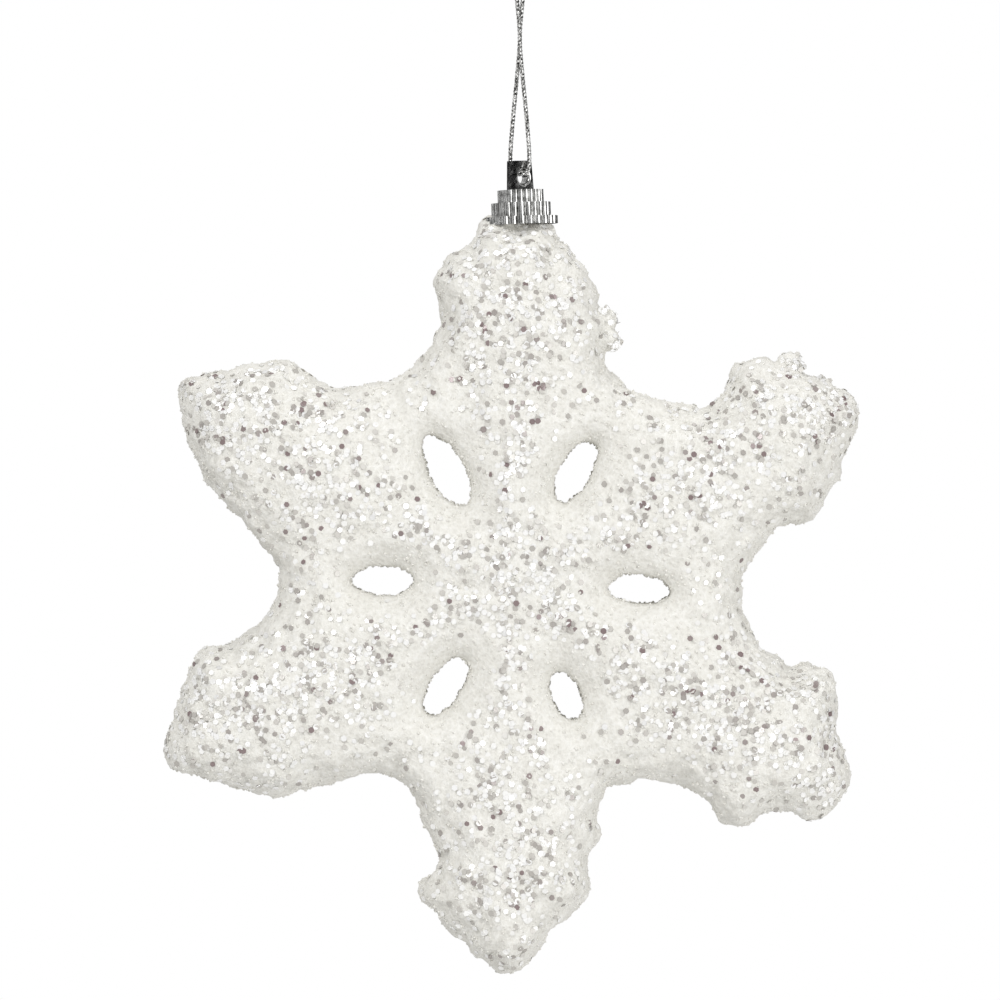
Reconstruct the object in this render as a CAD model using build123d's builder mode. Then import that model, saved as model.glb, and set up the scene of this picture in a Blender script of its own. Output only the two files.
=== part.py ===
from build123d import *
import math
import os

# Hanging snowflake: a moulded foam star under a crust of snow and glitter, a ribbed
# plated cap glued on its top arm, and a loop of thin metallic cord tied through the
# cap's eye. The origin is the inside top of the loop, where a hook bears. +Z is up,
# the star stands in the XZ plane and its front faces -Y. All sizes are millimetres.

# ---------------------------------------------------------------- driving dimensions
# Cord and its knot
cord_diameter = 0.75
knot_radius = 1.35
knot_drop = 0.05          # from the knot's lowest point down to the hang point
tail_length = 6.5
cord_split = -27.0        # height of the crossing, where the cord twists
split_gap = 0.04

# Eye of the cap
eye_drop = 50.0           # from the hang point down to the eye's centre
eye_turn = 40.0           # the eye looks this far round to the right of the front
eye_throat = 1.1
eye_mouth_round = 0.45
tab_thickness = 2.1
tab_half_base = 2.05
tab_half_top = 1.75
tab_above_eye = 2.75
tab_corner = 0.3

# Ribbed cap, from the rim up
cap_tilt = 2.2            # the cap was glued on slightly askew, its left side low
rib_count = 24
rim_radius = 6.0
rim_height = 1.3
step_radius = 4.9
step_height = 2.3
crown_radius = 3.8
crown_height = 2.1
cap_wall = 0.55
cap_roof = 0.7
rib_overlap = 1.04        # neighbouring ribs run a little into each other
eye_above_crown = 2.05

# Barbed stem under the cap, and the hot-melt round it
stem_radius = 1.3
stem_length = 13.0        # below the rim
stem_tip = 0.5
barb_radius = 1.9
barb_height = 1.6
barb_count = 3
barb_pitch = 3.2
socket_clearance = 0.1
glue_clearance = 0.02

# Foam star
neck_reach = 59.25        # from the star's centre up to the cap's rim
cap_offset = 1.8          # the cap stands this far right of the star's centre
coat_thickness = 0.6
# The pillow, from its widest layer out to its face: height off the middle, how far the
# layer is drawn in from the edge, and how far each hole's dish reaches out in it
pillow = [(3.6, 0.0, 0.0), (6.6, 0.9, 0.8), (8.8, 2.8, 2.4), (10.2, 5.6, 4.2)]
crotch_radius = 38.6      # from the centre to the dip between two arms
root_at = 39.5
waist_at = 45.6
head_at = 51.2
shoulder_at = 55.2
shoulder_share = 0.79     # shoulder width over head width
brow_back = 4.6           # from the tip back to the brow
brow_half_width = 6.3
nose_back = 0.9
nose_half_width = 3.0
least_share = 0.35        # a drawn-in layer keeps at least this share of each half width
neck_shoulder_at = 54.0
neck_shoulder_half_width = 11.4
neck_throat_at = 57.2
neck_throat_half_width = 7.0
neck_half_width = 5.5
neck_draw_in = 1.5        # the neck's layers step back this much faster than the tips'

# Each arm under the cap: direction, reach, and half widths of root, waist and head
arms = [
    (28.0, 64.2, 14.2, 11.8, 14.6),
    (149.0, 63.0, 14.5, 11.4, 12.6),
    (207.8, 64.2, 15.4, 12.5, 13.6),
    (269.5, 64.7, 14.8, 12.3, 14.2),
    (327.8, 65.2, 15.0, 12.8, 15.2),
]
top_arm_turn = 89.4
top_root_half_width = 15.2
top_waist_half_width = 12.6
top_head_half_width = 13.4

# Through holes between the arms: direction, half length and half width
hole_at = 21.0
holes = [
    (-2.7, 5.2, 2.1),
    (59.6, 5.6, 2.4),
    (119.6, 6.2, 2.7),
    (178.9, 5.1, 2.3),
    (237.7, 5.3, 2.45),
    (296.3, 4.3, 2.1),
]
# Glitter
flake_across = 1.0
flake_thickness = 0.1
flake_lift = 0.03
flake_rows = 8
flake_row_pitch = 5.6
flake_first_row = 9.0
flake_side = 2.6

# Crumbs of glued glitter that stand out at the edge: right, up, and radius
crumbs = [
    (15.6, 43.6, 2.3),
    (16.2, 40.6, 2.2),
    (46.6, 36.2, 2.5),
    (51.6, 33.2, 1.6),
]

# ---------------------------------------------------------------- places and planes
tilt = math.radians(cap_tilt)
turn = math.radians(eye_turn)
cap_height = rim_height + step_height + crown_height
eye_height = cap_height + eye_above_crown
cap_axis = Vector(-math.sin(tilt), 0, math.cos(tilt))
eye_centre = Vector(0, 0, -eye_drop)
seat = eye_centre - cap_axis * eye_height
cap_plane = Plane(origin=seat, x_dir=(math.cos(tilt), 0, math.sin(tilt)), z_dir=cap_axis)
eye_right = cap_plane.x_dir * math.cos(turn) + Vector(0, 1, 0) * math.sin(turn)
eye_front = cap_plane.x_dir * math.sin(turn) - Vector(0, 1, 0) * math.cos(turn)
eye_plane = Plane(origin=eye_centre, x_dir=eye_right, z_dir=eye_front)

centre = Vector(seat.X - cap_offset, 0, seat.Z - neck_reach)
star_plane = Plane(origin=centre, x_dir=(1, 0, 0), z_dir=(0, -1, 0))


# ---------------------------------------------------------------- the star's form
def on_star(degrees, along, across=0.0):
    """A place in the star's own plane, from an arm's direction."""
    angle = math.radians(degrees)
    return (along * math.cos(angle) - across * math.sin(angle),
            along * math.sin(angle) + across * math.cos(angle))


def arm_flank(reach, root, waist, head, drawn):
    """One flank of a free arm from root to tip, drawn in: place along it, half width."""
    flank = [
        (root_at, root),
        (waist_at, waist),
        (head_at, head),
        (shoulder_at - drawn / 2, head * shoulder_share),
        (reach - brow_back - drawn, brow_half_width),
        (reach - nose_back - drawn, nose_half_width),
    ]
    return [(along, max(half - drawn, half * least_share)) for along, half in flank]


def neck_flank(drawn):
    """One flank of the top arm, up to the foot of its neck."""
    back = drawn * neck_draw_in
    flank = [
        (root_at, top_root_half_width),
        (waist_at - drawn / 4, top_waist_half_width),
        (head_at - 1 - back / 3, top_head_half_width),
        (neck_shoulder_at - back * 2 / 3, neck_shoulder_half_width),
        (neck_throat_at - back, neck_throat_half_width),
    ]
    return [(along, max(half - drawn, half * least_share)) for along, half in flank]


def neck_end(side, inset, drawn):
    """Corner of the neck, on the line where the cap's rim sits on it."""
    across = side * max(neck_half_width - drawn, neck_half_width * least_share)
    return (cap_offset + across,
            neck_reach + across * math.tan(tilt) - inset - (drawn - inset) * neck_draw_in)


def star_outline(inset, drawn):
    """Corners round one layer of the star, drawn in from its edge."""
    flanks = [(spec[0], arm_flank(*spec[1:], drawn)) for spec in arms]
    flanks.insert(1, (top_arm_turn, neck_flank(drawn)))
    points = []
    for index, (degrees, flank) in enumerate(flanks):
        following = flanks[(index + 1) % len(flanks)][0]
        crotch = degrees + ((following - degrees) % 360) / 2
        points += [on_star(degrees, along, -half) for along, half in flank]
        if degrees == top_arm_turn:
            points += [neck_end(1, inset, drawn), neck_end(-1, inset, drawn)]
        points += [on_star(degrees, along, half) for along, half in reversed(flank)]
        points.append(on_star(crotch, crotch_radius - drawn))
    return points


def star_body(inset):
    """The whole star in its layers, drawn in from its outer skin by inset."""
    with BuildPart() as star:
        for height, drawn, dish in pillow:
            with BuildSketch(star_plane):
                with BuildLine():
                    Polyline(*star_outline(inset, drawn + inset), close=True)
                make_face()
                for degrees, half_length, half_width in holes:
                    with Locations(on_star(degrees, hole_at)):
                        Ellipse(half_length + dish + inset, half_width + dish + inset,
                                rotation=degrees, mode=Mode.SUBTRACT)
            extrude(amount=height - inset, both=True)
    print("star", inset, "solids", len(star.part.solids()), "volume", round(star.part.volume),
          "valid", star.part.is_valid, flush=True)
    return star.part


star_skin = star_body(0)
star_core = star_body(coat_thickness)

# ---------------------------------------------------------------- foam core
with BuildPart() as foam_core:
    add(star_core)
    with BuildSketch(cap_plane):
        Circle(barb_radius + socket_clearance)
    extrude(amount=-(stem_length + socket_clearance), mode=Mode.SUBTRACT)
foam_core.part.label = "foam_core"
print("core", foam_core.part.is_valid, flush=True)

# ---------------------------------------------------------------- crust of snow
with BuildPart() as snow_coat:
    add(star_skin)
    add(star_core, mode=Mode.SUBTRACT)
    with BuildSketch(cap_plane):
        Circle(barb_radius + socket_clearance)
    extrude(amount=-coat_thickness * 3, mode=Mode.SUBTRACT)
snow_coat.part.label = "snow_coat"
print("coat", snow_coat.part.is_valid, flush=True)

# ---------------------------------------------------------------- glitter flakes
with BuildPart() as glitter_flakes:
    spots = []
    for degrees in [spec[0] for spec in arms] + [top_arm_turn]:
        for row in range(flake_rows):
            stagger = flake_side * (0.5 if row % 2 else 1.0)
            for offset in (-stagger, stagger):
                spots.append(on_star(degrees, flake_first_row + flake_row_pitch * row, offset))
    for side in (1, -1):
        face = star_plane.offset(side * (pillow[-1][0] + flake_lift))
        with BuildSketch(face):
            with Locations(*spots):
                RegularPolygon(flake_across / 2, 6, major_radius=False)
        extrude(amount=side * flake_thickness)
glitter_flakes.part.label = "glitter_flakes"

# ---------------------------------------------------------------- glitter crumbs
with BuildPart() as glitter_crumbs:
    for to_right, to_up, radius in crumbs:
        with Locations(star_plane.from_local_coords((to_right, to_up, 0))):
            Sphere(radius)
    add(star_skin, mode=Mode.SUBTRACT)
glitter_crumbs.part.label = "glitter_crumbs"
print("crumbs", glitter_crumbs.part.is_valid, flush=True)


# ---------------------------------------------------------------- ribbed cap
def rib_radius(radius):
    """Radius of each rib of a tier, so that the ribs stand side by side round it."""
    share = math.sin(math.pi / rib_count)
    return radius * share / (1 + share) * rib_overlap


tiers = [
    (rim_radius, 0, rim_height),
    (step_radius, rim_height, step_height),
    (crown_radius, rim_height + step_height, crown_height),
]
with BuildPart() as crown_cap:
    for radius, base, height in tiers:
        rib = rib_radius(radius)
        with BuildSketch(cap_plane.offset(base)):
            Circle(radius - rib)
            with PolarLocations(radius - rib, rib_count):
                Circle(rib)
        extrude(amount=height)
    # the hollow under the cap, one bore in each tier
    for radius, base, height in tiers:
        roof = cap_roof if radius == crown_radius else 0
        with BuildSketch(cap_plane.offset(base)):
            Circle(radius - 2 * rib_radius(radius) - cap_wall / 2)
        extrude(amount=height - roof, mode=Mode.SUBTRACT)
    # the eye's tab
    with BuildSketch(eye_plane):
        with BuildLine():
            low = -eye_above_crown - cap_roof / 2
            Polyline((-tab_half_base, low), (tab_half_base, low), (tab_half_top, tab_above_eye),
                     (-tab_half_top, tab_above_eye), close=True)
        make_face()
    extrude(amount=tab_thickness / 2, both=True)
    top_corners = crown_cap.edges().filter_by(Axis(eye_centre, eye_front)).group_by(Axis.Z)[-1]
    fillet(top_corners, tab_corner)
    # the eye, with a rounded mouth on both sides
    with BuildSketch(eye_plane):
        Circle(eye_throat)
    extrude(amount=tab_thickness, both=True, mode=Mode.SUBTRACT)
    mouths = crown_cap.edges().filter_by(GeomType.CIRCLE)
    mouths = mouths.filter_by(lambda e: abs(e.radius - eye_throat) < 0.001)
    mouths = mouths.filter_by(lambda e: (e.arc_center - eye_centre).length < tab_thickness)
    fillet(mouths, eye_mouth_round)
    # the stem, with its barbs
    with BuildSketch(cap_plane.offset(cap_height - cap_roof)):
        Circle(stem_radius)
    extrude(amount=-(cap_height - cap_roof + stem_length - stem_tip))
    for barb in range(barb_count):
        low = -stem_length + barb * barb_pitch
        with BuildSketch(cap_plane.offset(low)):
            Circle(stem_tip if barb == 0 else stem_radius)
        with BuildSketch(cap_plane.offset(low + barb_height)):
            Circle(barb_radius)
        loft()
crown_cap.part.label = "crown_cap"
print("cap", len(crown_cap.part.solids()), crown_cap.part.is_valid, flush=True)

# ---------------------------------------------------------------- hot-melt in the cap
with BuildPart() as cap_glue:
    for radius, base, height in tiers[:2]:
        with BuildSketch(cap_plane.offset(base)):
            Circle(radius - 2 * rib_radius(radius) - cap_wall / 2 - glue_clearance)
            Circle(stem_radius + glue_clearance, mode=Mode.SUBTRACT)
        extrude(amount=height)
cap_glue.part.label = "cap_glue"

# ---------------------------------------------------------------- cord
# One cord, from the knot down its left leg, across in front of the other leg, down and
# through the eye from the front, and back up behind. Chosen by hand, in order.
front_leg = [
    (-0.61, 0.0, 0.20),
    (-1.70, 0.05, -1.94),
    (-2.05, 0.02, -6.40),
    (-1.60, -0.06, -12.40),
    (-0.80, -0.08, -17.00),
    (-0.46, -0.14, -20.90),
    (0.0, -0.44, -25.50),
    (0.0, -0.44, -28.50),
    (0.52, -0.50, -34.00),
    (1.15, -0.64, -40.40),
    (1.64, -0.80, -46.60),
    (1.44, -0.98, -49.45),
]
back_leg = [(-x, -y, z) for x, y, z in reversed(front_leg)]
route = front_leg + back_leg
eye_corner_radius = 1.15
tightest_arc_share = 0.45


def corner_radii(points):
    """An arc for each inner point: as large as its two runs allow, or the eye's own."""
    radii = []
    for before, here, after in zip(points, points[1:], points[2:]):
        run_in = Vector(*here) - Vector(*before)
        run_out = Vector(*after) - Vector(*here)
        half_turn = math.radians(run_in.get_angle(run_out)) / 2
        shorter = min(run_in.length, run_out.length)
        radius = tightest_arc_share * shorter / math.tan(half_turn)
        radii.append(eye_corner_radius if half_turn > math.radians(30) else radius)
    return radii


radii = corner_radii(route)
print("cord arc radii, mm:", [round(r, 2) for r in radii])
cut = next(i for i, p in enumerate(front_leg) if p[2] < cord_split)
last = len(route) - cut
upper_cut = cord_split + split_gap / 2
lower_cut = cord_split - split_gap / 2
stretches = {
    "left": (route[:cut] + [(*route[cut][:2], upper_cut)], radii[:cut - 1]),
    "right": ([(*route[last][:2], upper_cut)] + route[last:], radii[last - 1:]),
    "lower": ([(*route[cut][:2], lower_cut)] + route[cut:last]
              + [(*route[last - 1][:2], lower_cut)], radii[cut - 1:last - 1]),
}


def cord_tube(points, bends):
    """A round tube of cord along straight runs joined by tangent arcs."""
    with BuildPart() as tube:
        with BuildLine() as line:
            FilletPolyline(*points, radius=bends)
        start = line.line
        with BuildSketch(Plane(origin=start @ 0, z_dir=start % 0)):
            Circle(cord_diameter / 2)
        sweep(path=line.wire())
    expected = math.pi * (cord_diameter / 2) ** 2 * line.wire().length
    print("cord stretch mm:", round(line.wire().length, 2),
          "volume over section times length:", round(tube.part.volume / expected, 4))
    return tube.part


with BuildPart() as cord_upper:
    add(cord_tube(*stretches["left"]))
    add(cord_tube(*stretches["right"]))
cord_upper.part.label = "cord_upper"

with BuildPart() as cord_lower:
    add(cord_tube(*stretches["lower"]))
cord_lower.part.label = "cord_lower"

# ---------------------------------------------------------------- knot and its tails
knot_centre = Vector(0, 0, knot_drop + knot_radius)
tail_lean = 18.0
with BuildPart() as cord_knot:
    with Locations(knot_centre):
        Sphere(knot_radius)
    for side in (-1, 1):
        lean = math.radians(tail_lean) * side
        tail_axis = Vector(math.sin(lean), 0.1 * side, math.cos(lean))
        with BuildSketch(Plane(origin=knot_centre, z_dir=tail_axis)):
            Circle(cord_diameter / 2)
        extrude(amount=knot_radius + tail_length)
cord_knot.part.label = "cord_knot"

# ---------------------------------------------------------------- files
os.makedirs("parts", exist_ok=True)
export_step(foam_core.part, "parts/foam_core.step")
export_step(snow_coat.part, "parts/snow_coat.step")
export_step(glitter_flakes.part, "parts/glitter_flakes.step")
export_step(glitter_crumbs.part, "parts/glitter_crumbs.step")
export_step(crown_cap.part, "parts/crown_cap.step")
export_step(cap_glue.part, "parts/cap_glue.step")
export_step(cord_upper.part, "parts/cord_upper.step")
export_step(cord_lower.part, "parts/cord_lower.step")
export_step(cord_knot.part, "parts/cord_knot.step")
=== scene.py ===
import math

import bmesh
import bpy
import numpy as np
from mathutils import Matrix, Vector, noise


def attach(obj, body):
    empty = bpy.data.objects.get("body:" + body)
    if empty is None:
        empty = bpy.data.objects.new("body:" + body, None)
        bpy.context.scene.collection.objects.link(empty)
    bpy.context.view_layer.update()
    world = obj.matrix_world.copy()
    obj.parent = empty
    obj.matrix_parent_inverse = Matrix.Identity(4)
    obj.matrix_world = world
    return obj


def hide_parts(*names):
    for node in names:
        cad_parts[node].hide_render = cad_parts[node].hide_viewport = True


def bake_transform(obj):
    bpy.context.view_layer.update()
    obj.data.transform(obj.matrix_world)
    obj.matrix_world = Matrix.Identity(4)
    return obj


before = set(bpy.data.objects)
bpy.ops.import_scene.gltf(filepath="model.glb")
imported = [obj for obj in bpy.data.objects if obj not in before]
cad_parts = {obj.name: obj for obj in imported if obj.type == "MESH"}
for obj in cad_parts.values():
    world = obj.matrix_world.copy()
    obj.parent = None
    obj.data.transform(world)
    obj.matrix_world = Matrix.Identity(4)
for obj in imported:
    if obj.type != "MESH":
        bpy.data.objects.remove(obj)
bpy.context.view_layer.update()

mm = 0.001
scene = bpy.context.scene

# ---------------------------------------------------------------- camera
# Level with the middle of the star and square to its front, from far off with a long
# lens, so the star shows flat, as a hanging ornament does.
view_width = 165 * mm
camera_distance = 1.5
view_middle = (-3.27 * mm, -103.2 * mm)
sensor_width = 36
camera_data = bpy.data.cameras.new("camera")
camera_data.sensor_width = sensor_width
camera_data.lens = sensor_width * camera_distance / view_width
camera = bpy.data.objects.new("camera", camera_data)
camera.location = (view_middle[0], -camera_distance, view_middle[1])
camera.rotation_euler = (math.radians(90), 0, 0)
scene.collection.objects.link(camera)
scene.camera = camera

# ---------------------------------------------------------------- cord
# One length of silver metallic cord, three twisted strands. It leaves the knot, crosses
# itself, goes through the cap's eye from the front and comes back up behind.
cord_diameter = 0.75 * mm
cord_lay_length = 1.9 * mm
cord_step = 0.12 * mm
front_leg = [
    (-0.61, 0.0, 0.20),
    (-1.70, 0.05, -1.94),
    (-2.05, 0.02, -6.40),
    (-1.60, -0.06, -12.40),
    (-0.80, -0.08, -17.00),
    (-0.46, -0.14, -20.90),
    (0.0, -0.44, -25.50),
    (0.0, -0.44, -28.50),
    (0.52, -0.50, -34.00),
    (1.15, -0.64, -40.40),
    (1.64, -0.80, -46.60),
    (1.44, -0.98, -49.45),
]
back_leg = [(-x, -y, z) for x, y, z in reversed(front_leg)]


def smooth_line(name, points):
    """Points along the smooth spline that a route's points control, in metres."""
    data = bpy.data.curves.new(name, "CURVE")
    data.dimensions = "3D"
    data.resolution_u = 24
    spline = data.splines.new("NURBS")
    spline.points.add(len(points) - 1)
    for point, place in zip(spline.points, points):
        point.co = (*[c * mm for c in place], 1)
    spline.order_u = 3
    spline.use_endpoint_u = True
    curve = bpy.data.objects.new(name, data)
    scene.collection.objects.link(curve)
    mesh = bpy.data.meshes.new_from_object(curve)
    line = np.array([v.co for v in mesh.vertices])
    bpy.data.objects.remove(curve)
    return line


def even_line(line, spacing):
    """The same line with its points evenly spaced."""
    steps = np.linalg.norm(np.diff(line, axis=0), axis=1)
    along = np.concatenate([[0], np.cumsum(steps)])
    at = np.linspace(0, along[-1], max(8, int(along[-1] / spacing)))
    return np.stack([np.interp(at, along, line[:, k]) for k in range(3)], axis=1)


def twisted_cord(name, line, diameter, lay_length, strands=3, sides=7):
    """A mesh of strands that wind round a line, each a closed tube with capped ends."""
    tangents = np.gradient(line, axis=0)
    tangents /= np.linalg.norm(tangents, axis=1)[:, None]
    side = np.cross(tangents[0], (0.3, 1.0, 0.1))
    frames = []
    for tangent in tangents:
        side = side - tangent * side.dot(tangent)
        side = side / np.linalg.norm(side)
        frames.append((side, np.cross(tangent, side)))
    spacing = np.linalg.norm(line[1] - line[0])
    strand_share = 0.27
    strand_radius = diameter * strand_share
    offset = diameter / 2 - strand_radius
    shape = bmesh.new()
    for strand in range(strands):
        rings = []
        for index, (place, (first, second)) in enumerate(zip(line, frames)):
            phase = 2 * math.pi * (index * spacing / lay_length + strand / strands)
            core = place + offset * (first * math.cos(phase) + second * math.sin(phase))
            ring = []
            for corner in range(sides):
                angle = phase + 2 * math.pi * corner / sides
                spoke = first * math.cos(angle) + second * math.sin(angle)
                ring.append(shape.verts.new(core + spoke * strand_radius))
            rings.append(ring)
        for before, after in zip(rings, rings[1:]):
            for corner in range(sides):
                following = (corner + 1) % sides
                shape.faces.new((before[corner], before[following],
                                 after[following], after[corner]))
        shape.faces.new(reversed(rings[0]))
        shape.faces.new(rings[-1])
    bmesh.ops.recalc_face_normals(shape, faces=shape.faces)
    mesh = bpy.data.meshes.new(name)
    shape.to_mesh(mesh)
    shape.free()
    for face in mesh.polygons:
        face.use_smooth = True
    made = bpy.data.objects.new(name, mesh)
    scene.collection.objects.link(made)
    return made


class Wire:
    """A shader socket that takes part in Python expressions."""

    def __init__(self, tree, socket):
        self.tree, self.socket = tree, socket

    def node(self, kind, settings=(), inputs=(), output=0):
        """Adds any other node: its settings first, then its sockets' values or links."""
        new = self.tree.nodes.new(kind)
        for key, value in dict(settings).items():
            setattr(new, key, value)
        for key, value in dict(inputs).items():
            if isinstance(value, Wire):
                self.tree.links.new(value.socket, new.inputs[key])
            else:
                new.inputs[key].default_value = value
        return Wire(self.tree, new.outputs[output])

    def maths(self, operation, first, second):
        return self.node("ShaderNodeMath", {"operation": operation}, {0: first, 1: second})

    def __add__(self, other):
        return self.maths("ADD", self, other)

    __radd__ = __add__

    def __mul__(self, other):
        return self.maths("MULTIPLY", self, other)

    __rmul__ = __mul__

    def ramp(self, stops):
        """Colour ramp of (place, colour) stops."""
        new = self.tree.nodes.new("ShaderNodeValToRGB")
        while len(new.color_ramp.elements) < len(stops):
            new.color_ramp.elements.new(0.5)
        for element, (place, colour) in zip(new.color_ramp.elements, stops):
            element.position = place
            element.color = (*colour, 1)
        self.tree.links.new(self.socket, new.inputs[0])
        return Wire(self.tree, new.outputs[0])


def new_material(name, **sockets):
    """An empty procedural material: the material, its shader and its object coordinates."""
    made = bpy.data.materials.new(name)
    made.use_nodes = True
    tree = made.node_tree
    shader = tree.nodes["Principled BSDF"]
    for key, value in sockets.items():
        shader.inputs[key.replace("_", " ")].default_value = value
    place = tree.nodes.new("ShaderNodeTexCoord")
    return made, shader, Wire(tree, place.outputs["Object"])


def feed(shader, **wires):
    """Links wires to the shader's sockets."""
    for key, wire in wires.items():
        wire.tree.links.new(wire.socket, shader.inputs[key.replace("_", " ")])


silver, shader, place = new_material("silver_thread", Metallic=0.9, Roughness=0.28)
glints = place.node("ShaderNodeTexNoise", (), {"Vector": place, "Scale": 2600.0, "Detail": 1.0})
feed(shader, Base_Color=glints.ramp([(0.38, (0.10, 0.10, 0.095)), (0.5, (0.5, 0.5, 0.49)),
                                     (0.6, (0.93, 0.93, 0.92))]))
feed(shader, Roughness=glints * 0.3 + 0.15)

cord_line = even_line(smooth_line("cord_route", front_leg + back_leg), cord_step)
cord = twisted_cord("hanging_cord", cord_line, cord_diameter, cord_lay_length)
cord.data.materials.append(silver)
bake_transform(cord)
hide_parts("cord_upper", "cord_lower")

# ---------------------------------------------------------------- knot and tails
# An overhand knot in both ends of the same cord, pulled tight, with the two cut tails
# left standing.
knot_middle = 1.40
knot_height = 1.7
wrap_turns = 3
wrap_radius = 0.86
points_a_turn = 12
tail_step = 0.14 * mm
short_tail_cut = 0.9
tail_part_above = 6
wrap_points = []
for step in range(points_a_turn * wrap_turns + 1):
    angle = 2 * math.pi * step / points_a_turn
    rise = -knot_height / 2 + knot_height * step / (points_a_turn * wrap_turns)
    wrap_points.append((wrap_radius * math.cos(angle), wrap_radius * math.sin(angle),
                        knot_middle + rise))
inner = [(-0.61, 0.0, 0.20), (-0.36, 0.0, 0.8), (-0.38, 0.05, 2.0), (-0.6, 0.1, 3.2),
         (-1.5, 0.2, 6.0), (-2.2, 0.3, 8.8)]
shorter = [(-x, -y, z - (short_tail_cut if z > tail_part_above else 0)) for x, y, z in inner]
tail_routes = [inner, shorter, wrap_points]
knot_parts = []
for index, tail_route in enumerate(tail_routes):
    tail_line = even_line(smooth_line(f"tail_route_{index}", tail_route), tail_step)
    knot_parts.append(twisted_cord(f"knot_part_{index}", tail_line, cord_diameter, cord_lay_length))
bpy.ops.object.select_all(action="DESELECT")
for part in knot_parts:
    part.select_set(True)
bpy.context.view_layer.objects.active = knot_parts[0]
bpy.ops.object.join()
knot = bpy.context.view_layer.objects.active
knot.name = "cord_knot_tied"
knot.data.materials.clear()
knot.data.materials.append(silver)
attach(knot, "hanger")
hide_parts("cord_knot")

# ---------------------------------------------------------------- foam star and its crust
# A moulded foam star, brushed with glue and rolled in fine snow. It is one puffy piece:
# six lobed arms, six slots with smooth dished rims, bumpy granular skin.
star_middle = Vector((-1.51 * mm, 0, -116.85 * mm))
crotch_radius = 38
arm_shapes = [
    # direction, then (along, right half width, left half width): root, waist, head,
    # shoulder and tip
    (28, [(37, 15.5, 14), (43.5, 13, 10.5), (50, 14.5, 14.5), (57, 8.5, 10.5), (63, 3, 3)]),
    (89.5, [(36, 16, 15.5), (43.5, 14, 12.5), (50, 13.5, 13.5), (56, 8, 7.5), (60, 5, 5)]),
    (149, [(36, 16, 16), (44.5, 11.5, 13.5), (51, 12.5, 12.5), (57, 7.5, 8), (62.5, 2, 2)]),
    (208, [(36, 15.5, 17), (45, 12.5, 14), (51, 13.5, 13.5), (57, 9, 7), (63.5, 3, 2)]),
    (269.5, [(36, 16, 16), (45.5, 12, 13.5), (52, 14.5, 14), (58, 8.5, 7), (64, 2.5, 2)]),
    (328, [(37, 15.5, 14.5), (45.5, 13.5, 12), (52, 15, 15.5), (58, 8.5, 9.5), (64.5, 4, 2)]),
]


def arm_place(degrees, along, across):
    """A place in the star's plane, in millimetres, from an arm's direction."""
    angle = math.radians(degrees)
    return (along * math.cos(angle) - across * math.sin(angle),
            along * math.sin(angle) + across * math.cos(angle))


outline = []
for index, (degrees, stations) in enumerate(arm_shapes):
    following = arm_shapes[(index + 1) % len(arm_shapes)][0]
    outline += [arm_place(degrees, along, -half) for along, half, _ in stations]
    outline += [arm_place(degrees, along, half) for along, _, half in reversed(stations)]
    outline.append(arm_place(degrees + ((following - degrees) % 360) / 2, crotch_radius, 0))


def rounded_outline(points, steps=5):
    """A smooth closed line through the corners of an outline."""
    smooth = []
    count = len(points)
    ring = [Vector((*p, 0)) for p in points]
    for index in range(count):
        a, b, c, d = (ring[(index + k - 1) % count] for k in range(4))
        for step in range(steps):
            t = step / steps
            smooth.append(0.5 * (2 * b + (c - a) * t + (2 * a - 5 * b + 4 * c - d) * t * t
                                 + (3 * b - a - 3 * c + d) * t ** 3))
    return smooth


edge_line = np.array([tuple(p)[:2] for p in rounded_outline(outline)])
# each slot: direction, distance out, half length and half width
slots = [(-2.7, 21.1, 5.2, 2.1), (59.6, 21.2, 5.6, 2.4), (119.6, 21.3, 6.3, 2.7),
         (178.9, 21.2, 5.0, 2.3), (237.7, 20.2, 5.3, 2.45), (296.3, 20.7, 4.2, 2.2)]


def inside_distance(places):
    """Distance in from the star's edge for many places at once, negative outside."""
    following = np.roll(edge_line, -1, axis=0)
    nearest = np.full(len(places), 1e9)
    crossings = np.zeros(len(places), int)
    for (ax, ay), (bx, by) in zip(edge_line, following):
        run = np.array((bx - ax, by - ay))
        share = ((places - (ax, ay)) @ run) / max(run @ run, 1e-12)
        foot = np.array((ax, ay)) + np.clip(share, 0, 1)[:, None] * run
        nearest = np.minimum(nearest, np.hypot(*(places - foot).T))
        if ay != by:
            spans = (ay > places[:, 1]) != (by > places[:, 1])
            hit = places[:, 0] < ax + (places[:, 1] - ay) * (bx - ax) / (by - ay)
            crossings += spans & hit
    return np.where(crossings % 2 == 1, nearest, -nearest)


def slot_distance(places):
    """Distance out from the nearest oval slot's edge, about, negative in the slot."""
    nearest = np.full(len(places), 1e9)
    for degrees, out, half_length, half_width in slots:
        angle = math.radians(degrees)
        along = places @ (math.cos(angle), math.sin(angle)) - out
        across = places @ (-math.sin(angle), math.cos(angle))
        ratio = np.hypot(along / half_length, across / half_width)
        slope = np.hypot(along / half_length ** 2, across / half_width ** 2) + 1e-9
        nearest = np.minimum(nearest, ratio * (ratio - 1) / slope)
    return nearest


def ridge_strength(places):
    """1 along the middle of each arm and on the hub, fading to 0 beside them."""
    radius = np.hypot(*places.T)
    strength = np.exp(-(radius / 11) ** 2)
    for degrees, _ in arm_shapes:
        angle = math.radians(degrees)
        along = places @ (math.cos(angle), math.sin(angle))
        across = places @ (-math.sin(angle), math.cos(angle))
        width = 4.5 + 4.5 * np.clip((along - 20) / 25, 0, 1)
        strength = np.maximum(strength, np.exp(-(across / width) ** 2) * (along > 0))
    return strength


def grown_noise(point, scale, seed):
    """Smooth noise at a point, from about -1 to 1; the seed picks another pattern."""
    return noise.noise(Vector((point[0] * scale + seed, point[1] * scale, point[2] * scale)))


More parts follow.
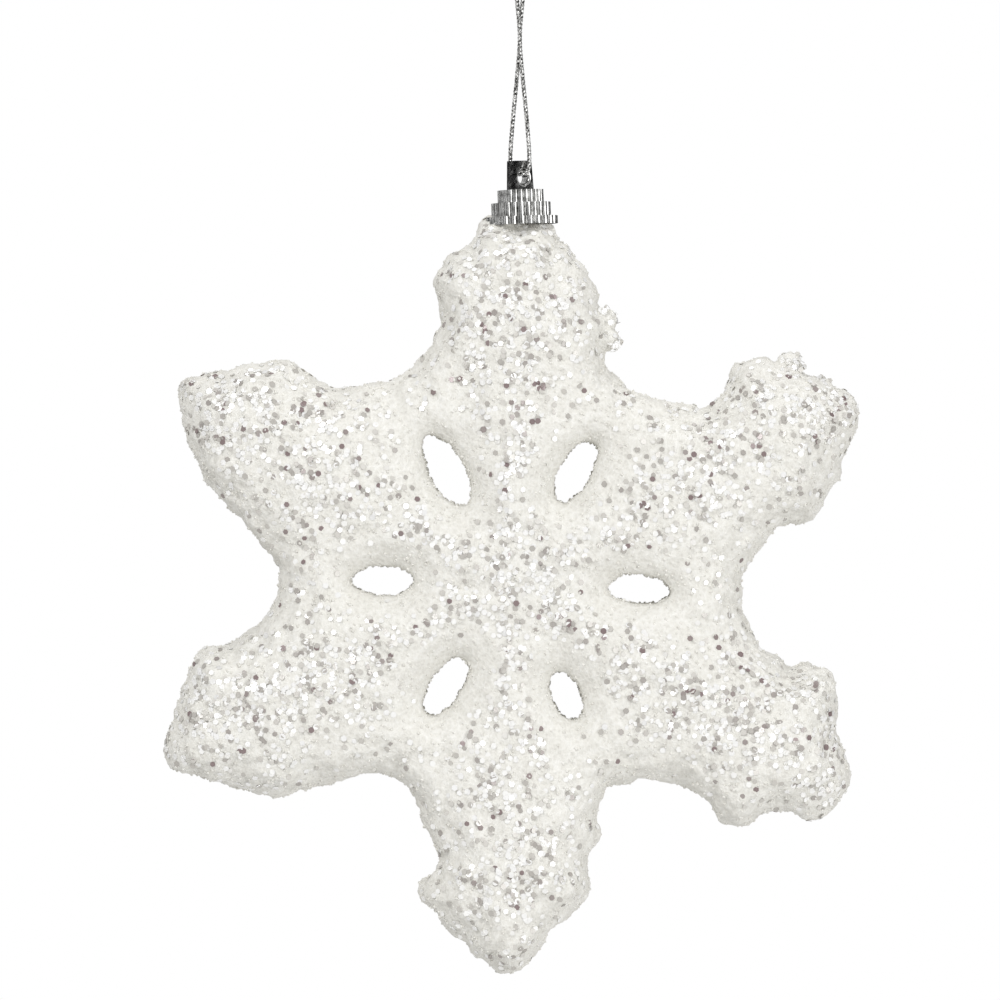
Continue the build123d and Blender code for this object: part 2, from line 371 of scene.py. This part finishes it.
def half_thickness(places):
    """Half the star's thickness and the distance in from its edge, in millimetres."""
    lumps = np.array([1.3 * grown_noise((*p, 0), 0.13, 61.0) + 0.7 * grown_noise((*p, 0), 0.3, 15.0)
                      for p in places])
    edge = inside_distance(places) + lumps * np.clip((np.hypot(*places.T) - 30) / 10, 0, 1)
    radius = np.hypot(*places.T)
    full = 9.0 + 1.3 * ridge_strength(places) - 2.4 * np.clip((radius - 48) / 17, 0, 1) ** 2
    below_cap = 59.3 - places[:, 1]
    neck = (below_cap < 12) & (np.abs(places[:, 0]) < 20)
    full = np.where(neck, np.minimum(full, 5.6 + 0.8 * np.maximum(below_cap, 0)), full)
    roll = np.clip(edge / 8.5, 0, 1)
    height = full * np.sqrt(1 - (1 - roll) ** 2.2)
    dish = np.clip(slot_distance(places) / 5.0, 0, 1)
    sunk = 5.4 + (height - 5.4) * (1 - (1 - dish) ** 2.0) ** 0.8
    return np.where(dish < 1, np.minimum(height, sunk), height), edge


# each clot: its place to the right and up from the star's middle, and its radius
clot_spots = [((15.4, 43.4), 2.2), ((16.2, 40.0), 2.0), ((46.2, 35.6), 2.3), ((51.4, 32.6), 1.5)]
bpy.ops.object.select_all(action="DESELECT")
grid_pitch = 0.62
grid_size = 136
thinnest_half = 1.1
crust_voxel = 0.64
bpy.ops.mesh.primitive_grid_add(x_subdivisions=round(grid_size / grid_pitch),
                                y_subdivisions=round(grid_size / grid_pitch), size=grid_size)
star = bpy.context.view_layer.objects.active
star.name = "snowy_star"
places = np.array([tuple(v.co)[:2] for v in star.data.vertices])
slot_wobble = np.array([0.45 * grown_noise((*p, 0), 0.9, 40.0) for p in places])
outside = (half_thickness(places)[1] < 0) | (slot_distance(places) + slot_wobble < 0)
bpy.ops.object.mode_set(mode="EDIT")
bpy.ops.mesh.select_mode(type="VERT")
bpy.ops.mesh.select_all(action="DESELECT")
bpy.ops.object.mode_set(mode="OBJECT")
star.data.vertices.foreach_set("select", outside)
bpy.ops.object.mode_set(mode="EDIT")
bpy.ops.mesh.delete(type="VERT")
bpy.ops.mesh.select_all(action="SELECT")
bpy.ops.mesh.extrude_region_move(TRANSFORM_OT_translate={"value": (0, 0, 1)})
bpy.ops.mesh.select_all(action="SELECT")
bpy.ops.mesh.normals_make_consistent(inside=False)
bpy.ops.object.mode_set(mode="OBJECT")
coords = np.array([v.co for v in star.data.vertices])
heights = np.maximum(half_thickness(coords[:, :2])[0], thinnest_half)
coords[:, 2] = np.where(coords[:, 2] > 0.5, heights, -heights)
star.data.vertices.foreach_set("co", coords.astype(np.float32).ravel())
star.data.update()
for (right, up), radius in clot_spots:
    bpy.ops.object.select_all(action="DESELECT")
    bpy.ops.mesh.primitive_ico_sphere_add(subdivisions=2, radius=radius, location=(right, up, 1))
    bpy.ops.object.transform_apply(location=True, rotation=True, scale=True)
    star.select_set(True)
    bpy.context.view_layer.objects.active = star
    bpy.ops.object.join()


def apply_modifier(target, kind, **settings):
    """Adds a modifier to an object and applies it."""
    bpy.ops.object.select_all(action="DESELECT")
    target.select_set(True)
    bpy.context.view_layer.objects.active = target
    modifier = target.modifiers.new(kind.lower(), kind)
    for key, value in settings.items():
        setattr(modifier, key, value)
    bpy.ops.object.modifier_apply(modifier=modifier.name)


apply_modifier(star, "REMESH", mode="VOXEL", voxel_size=crust_voxel, adaptivity=0)
apply_modifier(star, "SMOOTH", factor=0.5, iterations=4)

# lumps of crust, coarse where the glue ran thick, finer over all, none in the dishes
coords = np.array([v.co for v in star.data.vertices])
normals = np.array([v.normal for v in star.data.vertices])
calm = np.clip(slot_distance(coords[:, :2]) / 5.5, 0.12, 1)
lift = np.array([0.75 * grown_noise(c, 0.2, 3.1) + 0.5 * grown_noise(c, 0.55, 9.7)
                 + 0.26 * grown_noise(c, 1.3, 27.0) for c in coords])
coords = coords + normals * (lift * calm)[:, None]
# the star stands up in its own place: its plane becomes XZ and its face looks to -Y
placed = np.stack([coords[:, 0], -coords[:, 2], coords[:, 1]], axis=1) * mm + star_middle
star.data.vertices.foreach_set("co", placed.astype(np.float32).ravel())
star.data.update()
for face in star.data.polygons:
    face.use_smooth = True

snow, shader, place = new_material("glued_snow", Roughness=0.85)
place = place.node("ShaderNodeVectorMath", {"operation": "SUBTRACT"},
                   {0: place, 1: tuple(star_middle)})
grain = place.node("ShaderNodeTexVoronoi", (), {"Vector": place, "Scale": 1300.0})
fine = place.node("ShaderNodeTexNoise", (), {"Vector": place, "Scale": 2600.0, "Detail": 2.0})
patch = place.node("ShaderNodeTexNoise", (), {"Vector": place, "Scale": 260.0, "Detail": 3.0})
tone = grain * 0.35 + fine * 0.4 + patch * 0.35
feed(shader, Base_Color=tone.ramp([(0.25, (0.68, 0.665, 0.625)), (0.5, (0.80, 0.79, 0.745)),
                                   (0.75, (0.89, 0.885, 0.855))]))
bump = place.node("ShaderNodeBump", (), {"Strength": 0.55, "Distance": 0.00025,
                                         "Height": fine + grain * 0.8})
feed(shader, Normal=bump)
star.data.materials.append(snow)
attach(star, "ornament")
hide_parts("snow_coat", "foam_core")

# ---------------------------------------------------------------- glitter
# Thousands of hexagonal flakes, 1 mm across, cut from silver-clear film and shaken over
# the wet glue. They lie thick on the ridges and hub and hardly at all round the slots.
mesh = star.data
mesh.calc_loop_triangles()
areas = np.array([t.area for t in mesh.loop_triangles])
corners = np.array([t.vertices for t in mesh.loop_triangles])
points = np.array([v.co for v in mesh.vertices])
point_normals = np.array([v.normal for v in mesh.vertices])
dice = np.random.default_rng(7)


def scattered(count):
    """Places and normals spread evenly over the star's skin."""
    picked = dice.choice(len(areas), count, p=areas / areas.sum())
    u, v = dice.random((2, count, 1))
    u, v = np.where(u + v > 1, 1 - u, u), np.where(u + v > 1, 1 - v, v)
    a, b, c = (points[corners[picked, k]] for k in range(3))
    normal = point_normals[corners[picked]].mean(axis=1)
    normal /= np.linalg.norm(normal, axis=1)[:, None]
    return a + u * (b - a) + v * (c - a), normal


def star_places(found):
    """The places in the star's own plane, in millimetres."""
    flat = (found - np.array(star_middle)) / mm
    return np.stack([flat[:, 0], flat[:, 2]], axis=1)


def stamped(name, base, found, normals, sizes, painted_glint_levels, tip):
    """One mesh of many copies of a small shape, each stood on its own normal."""
    count = len(found)
    corners_of_one = np.array([v.co for v in base.vertices])
    ups = normals + dice.normal(0, tip, (count, 3))
    ups /= np.linalg.norm(ups, axis=1)[:, None]
    first = np.cross(ups, dice.normal(0, 1, (count, 3)))
    first /= np.linalg.norm(first, axis=1)[:, None]
    second = np.cross(ups, first)
    turned = sum(corners_of_one[None, :, k, None] * way[:, None]
                 for k, way in enumerate((first, second, ups)))
    spots = found[:, None] + sizes[:, None, None] * turned
    one_faces = [list(p.vertices) for p in base.polygons]
    faces = [[v + len(corners_of_one) * copy for v in face]
             for copy in range(count) for face in one_faces]
    made_mesh = bpy.data.meshes.new(name)
    made_mesh.from_pydata(spots.reshape(-1, 3).tolist(), [], faces)
    # each copy's tone; the glitter material turns it into a painted glint, near white where a flake
    # would catch the light and grey where it would not
    layer = made_mesh.attributes.new("tone", "FLOAT", "POINT")
    layer.data.foreach_set("value", np.repeat(painted_glint_levels, len(corners_of_one)).astype(np.float32))
    made = bpy.data.objects.new(name, made_mesh)
    scene.collection.objects.link(made)
    return made


flake_size = 1.0 * mm
flakes_tried = 40000
flake_tip = 0.16
bpy.ops.object.select_all(action="DESELECT")
bpy.ops.mesh.primitive_cylinder_add(vertices=6, radius=0.5, depth=0.06, location=(0, 0, 0.1))
bpy.ops.object.transform_apply(location=True, rotation=True, scale=True)
one_flake = bpy.context.view_layer.objects.active.data
bpy.data.objects.remove(bpy.context.view_layer.objects.active)

film, shader, place = new_material("glitter_film", Roughness=0.2, Specular_IOR_Level=0.8)
painted_glint = place.node("ShaderNodeAttribute", {"attribute_name": "tone"}, (), 2)
# painted glints: each flake's colour stands for how much light it throws back, dark grey for flakes
# turned away and near white for flakes that catch the lamps, not a colour of the film
feed(shader, Base_Color=painted_glint.ramp([
    (0.0, (0.26, 0.20, 0.20)), (0.05, (0.42, 0.39, 0.37)), (0.14, (0.50, 0.48, 0.45)),
    (0.26, (0.62, 0.60, 0.565)), (0.38, (0.76, 0.745, 0.71)), (0.46, (0.97, 0.97, 0.96)),
    (1.0, (0.98, 0.98, 0.98))]))
feed(shader, Metallic=painted_glint.ramp([(0.0, (0.1, 0.1, 0.1)), (0.4, (0.05, 0.05, 0.05)),
                                       (1.0, (0.25, 0.25, 0.25))]))

found, normals = scattered(flakes_tried)
flat = star_places(found)
dish = np.clip((slot_distance(flat) - 3.0) / 3.0, 0.02, 1)
facing = np.clip(np.abs(normals[:, 1]) * 1.7 - 0.25, 0.12, 1)
clusters = np.array([0.6 + 0.9 * grown_noise(p, 0.22, 5.0) for p in (found / mm)])
lower_flank = np.clip(0.75 + 0.6 * normals[:, 2], 0.35, 1)
chance = (0.2 + 0.75 * ridge_strength(flat)) * dish * facing * lower_flank
kept = dice.random(len(found)) < chance * np.clip(clusters * 1.5, 0.3, 1.3)
found, normals = found[kept], normals[kept]
# painted glint patches: noise that whitens flakes in broad patches, where many flakes seem to catch
# the light together; the levels below are each flake's painted glint
painted_glint_patches = np.array([grown_noise(p, 0.3, 71.0) for p in (found / mm)])
painted_glint_levels = np.clip(dice.random(len(found)) * 0.95 + painted_glint_patches * 0.2, 0, 1)
sizes = flake_size * dice.uniform(0.85, 1.1, len(found))
for side_name, on_side in (("front", found[:, 1] < 0), ("back", found[:, 1] >= 0)):
    glitter = stamped(f"glitter_{side_name}", one_flake, found[on_side], normals[on_side],
                      sizes[on_side], painted_glint_levels[on_side], flake_tip)
    glitter.data.materials.append(film)
    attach(glitter, "ornament")
    if side_name == "front":
        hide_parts("glitter_flakes")

# ---------------------------------------------------------------- loose snow grains
# Single grains of the snow powder, in the same glue as the crust. They stand proud of it
# and roughen its edge.
bpy.ops.object.select_all(action="DESELECT")
bpy.ops.mesh.primitive_ico_sphere_add(subdivisions=1, radius=1.0, location=(0, 0, 0.2))
bpy.ops.object.transform_apply(location=True, rotation=True, scale=True)
one_grain = bpy.context.view_layer.objects.active.data
bpy.data.objects.remove(bpy.context.view_layer.objects.active)
grain_count = 9000
found, normals = scattered(grain_count)
grains = stamped("snow_grains", one_grain, found, normals,
                 dice.uniform(0.14, 0.3, len(found)) * mm, dice.random(len(found)), 0.2)
for face in grains.data.polygons:
    face.use_smooth = True
grains.data.materials.append(snow)
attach(grains, "ornament")

# ---------------------------------------------------------------- clots at the edge
# Clots of glue and flakes that set on the edge of two arms and were never trimmed. Their
# snow is part of the star's crust, and more flakes stand on end all round them.
clot_found, clot_normals = [], []
for (right, up), radius in clot_spots:
    ways = dice.normal(0, 1, (round(9 * radius ** 2), 3))
    ways /= np.linalg.norm(ways, axis=1)[:, None]
    reach = radius * dice.uniform(0.8, 1.1, (len(ways), 1)) * mm
    centre = np.array(star_middle) + np.array((right, -1, up)) * mm
    clot_found.append(centre + ways * reach)
    clot_normals.append(ways)
clot_found, clot_normals = np.concatenate(clot_found), np.concatenate(clot_normals)
# the clot flakes get random painted glint levels, which the glitter material turns to near white
# and grey
clots = stamped("glitter_clots", one_flake, clot_found, clot_normals,
                np.full(len(clot_found), flake_size), dice.uniform(0.2, 1, len(clot_found)), 0.5)
clots.data.materials.append(film)
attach(clots, "ornament")
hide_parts("glitter_crumbs")

# ---------------------------------------------------------------- plated cap
# One plastic moulding with three ribbed tiers, an eye tab and a barbed stem, vacuum
# plated to a mirror finish. It keeps the construction's own shape.


def repaint(node, material):
    """Gives a CAD node's own object a finished material."""
    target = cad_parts[node]
    target.data.materials.clear()
    target.data.materials.append(material)


plate, shader, place = new_material("mirror_plating", Metallic=1.0, Roughness=0.08)
smudge = place.node("ShaderNodeTexNoise", (), {"Vector": place, "Scale": 900.0, "Detail": 3.0})
feed(shader, Roughness=smudge * 0.16 + 0.02)
feed(shader, Base_Color=smudge.ramp([(0.35, (0.30, 0.30, 0.29)), (0.6, (0.72, 0.72, 0.71))]))
repaint("crown_cap", plate)

# ---------------------------------------------------------------- glue
# Clear-white hot-melt that fills the cap round the stem. It is run in hot and holds the
# cap on the neck of the top arm.
melt, shader, place = new_material("hot_melt", Roughness=0.4, Coat_Weight=0.3)
cloud = place.node("ShaderNodeTexNoise", (), {"Vector": place, "Scale": 500.0})
feed(shader, Base_Color=cloud.ramp([(0.3, (0.72, 0.72, 0.69)), (0.7, (0.86, 0.86, 0.84))]))
repaint("cap_glue", melt)

# ---------------------------------------------------------------- floor and light
# A plain pale floor below, a white surround that only the eye and the plating see, and
# large soft lamps from above, left and right.
bpy.ops.object.select_all(action="DESELECT")
bpy.ops.mesh.primitive_plane_add(size=1.6, location=(0, 0, -0.42))
floor = bpy.context.view_layer.objects.active
floor.name = "floor"
pale, shader, place = new_material("pale_floor", Roughness=0.8)
soft = place.node("ShaderNodeTexNoise", (), {"Vector": place, "Scale": 6.0})
feed(shader, Base_Color=soft.ramp([(0.3, (0.84, 0.84, 0.835)), (0.7, (0.87, 0.87, 0.865))]))
floor.data.materials.append(pale)


def soft_lamp(name, place, aim, size, power):
    """A square area lamp that looks at a point."""
    data = bpy.data.lights.new(name, "AREA")
    data.size = size
    data.energy = power
    lamp = bpy.data.objects.new(name, data)
    lamp.location = place
    lamp.rotation_euler = (Vector(aim) - Vector(place)).to_track_quat("-Z", "Y").to_euler()
    scene.collection.objects.link(lamp)


aim = tuple(star_middle)
soft_lamp("key", (-0.5, -0.9, 0.65), aim, 0.5, 6.6)
soft_lamp("fill", (0.8, -0.8, -0.1), aim, 0.7, 4.4)
soft_lamp("top", (0.05, 0.1, 0.9), aim, 0.6, 1.6)

world = bpy.data.worlds.new("surround")
scene.world = world
world.use_nodes = True
tree = world.node_tree
tree.nodes.clear()
rays = tree.nodes.new("ShaderNodeLightPath")
seen = Wire(tree, rays.outputs["Is Camera Ray"])
seen = seen.maths("MAXIMUM", seen, Wire(tree, rays.outputs["Is Transmission Ray"]))
glossy = Wire(tree, rays.outputs["Is Glossy Ray"])
way = seen.node("ShaderNodeTexCoord", (), (), 0)
bands = seen.node("ShaderNodeTexWave", {"bands_direction": "DIAGONAL"},
                  {"Vector": way, "Scale": 2.6, "Distortion": 6.0}, 1)
bands = bands.ramp([(0.55, (0.01, 0.01, 0.01)), (0.66, (1, 1, 1))])
mirrored = seen.node("ShaderNodeBackground", (), {"Color": bands, "Strength": 1.0})
lit = seen.node("ShaderNodeBackground", (), {"Color": (1.0, 0.985, 0.96, 1), "Strength": 0.5})
shown = seen.node("ShaderNodeBackground", (), {"Color": (1, 1, 1, 1), "Strength": 1.0})
both = seen.node("ShaderNodeMixShader", (), {0: glossy, 1: lit, 2: mirrored})
both = seen.node("ShaderNodeMixShader", (), {0: seen, 1: both, 2: shown})
out = tree.nodes.new("ShaderNodeOutputWorld")
tree.links.new(both.socket, out.inputs["Surface"])
scene.view_settings.view_transform = "Standard"
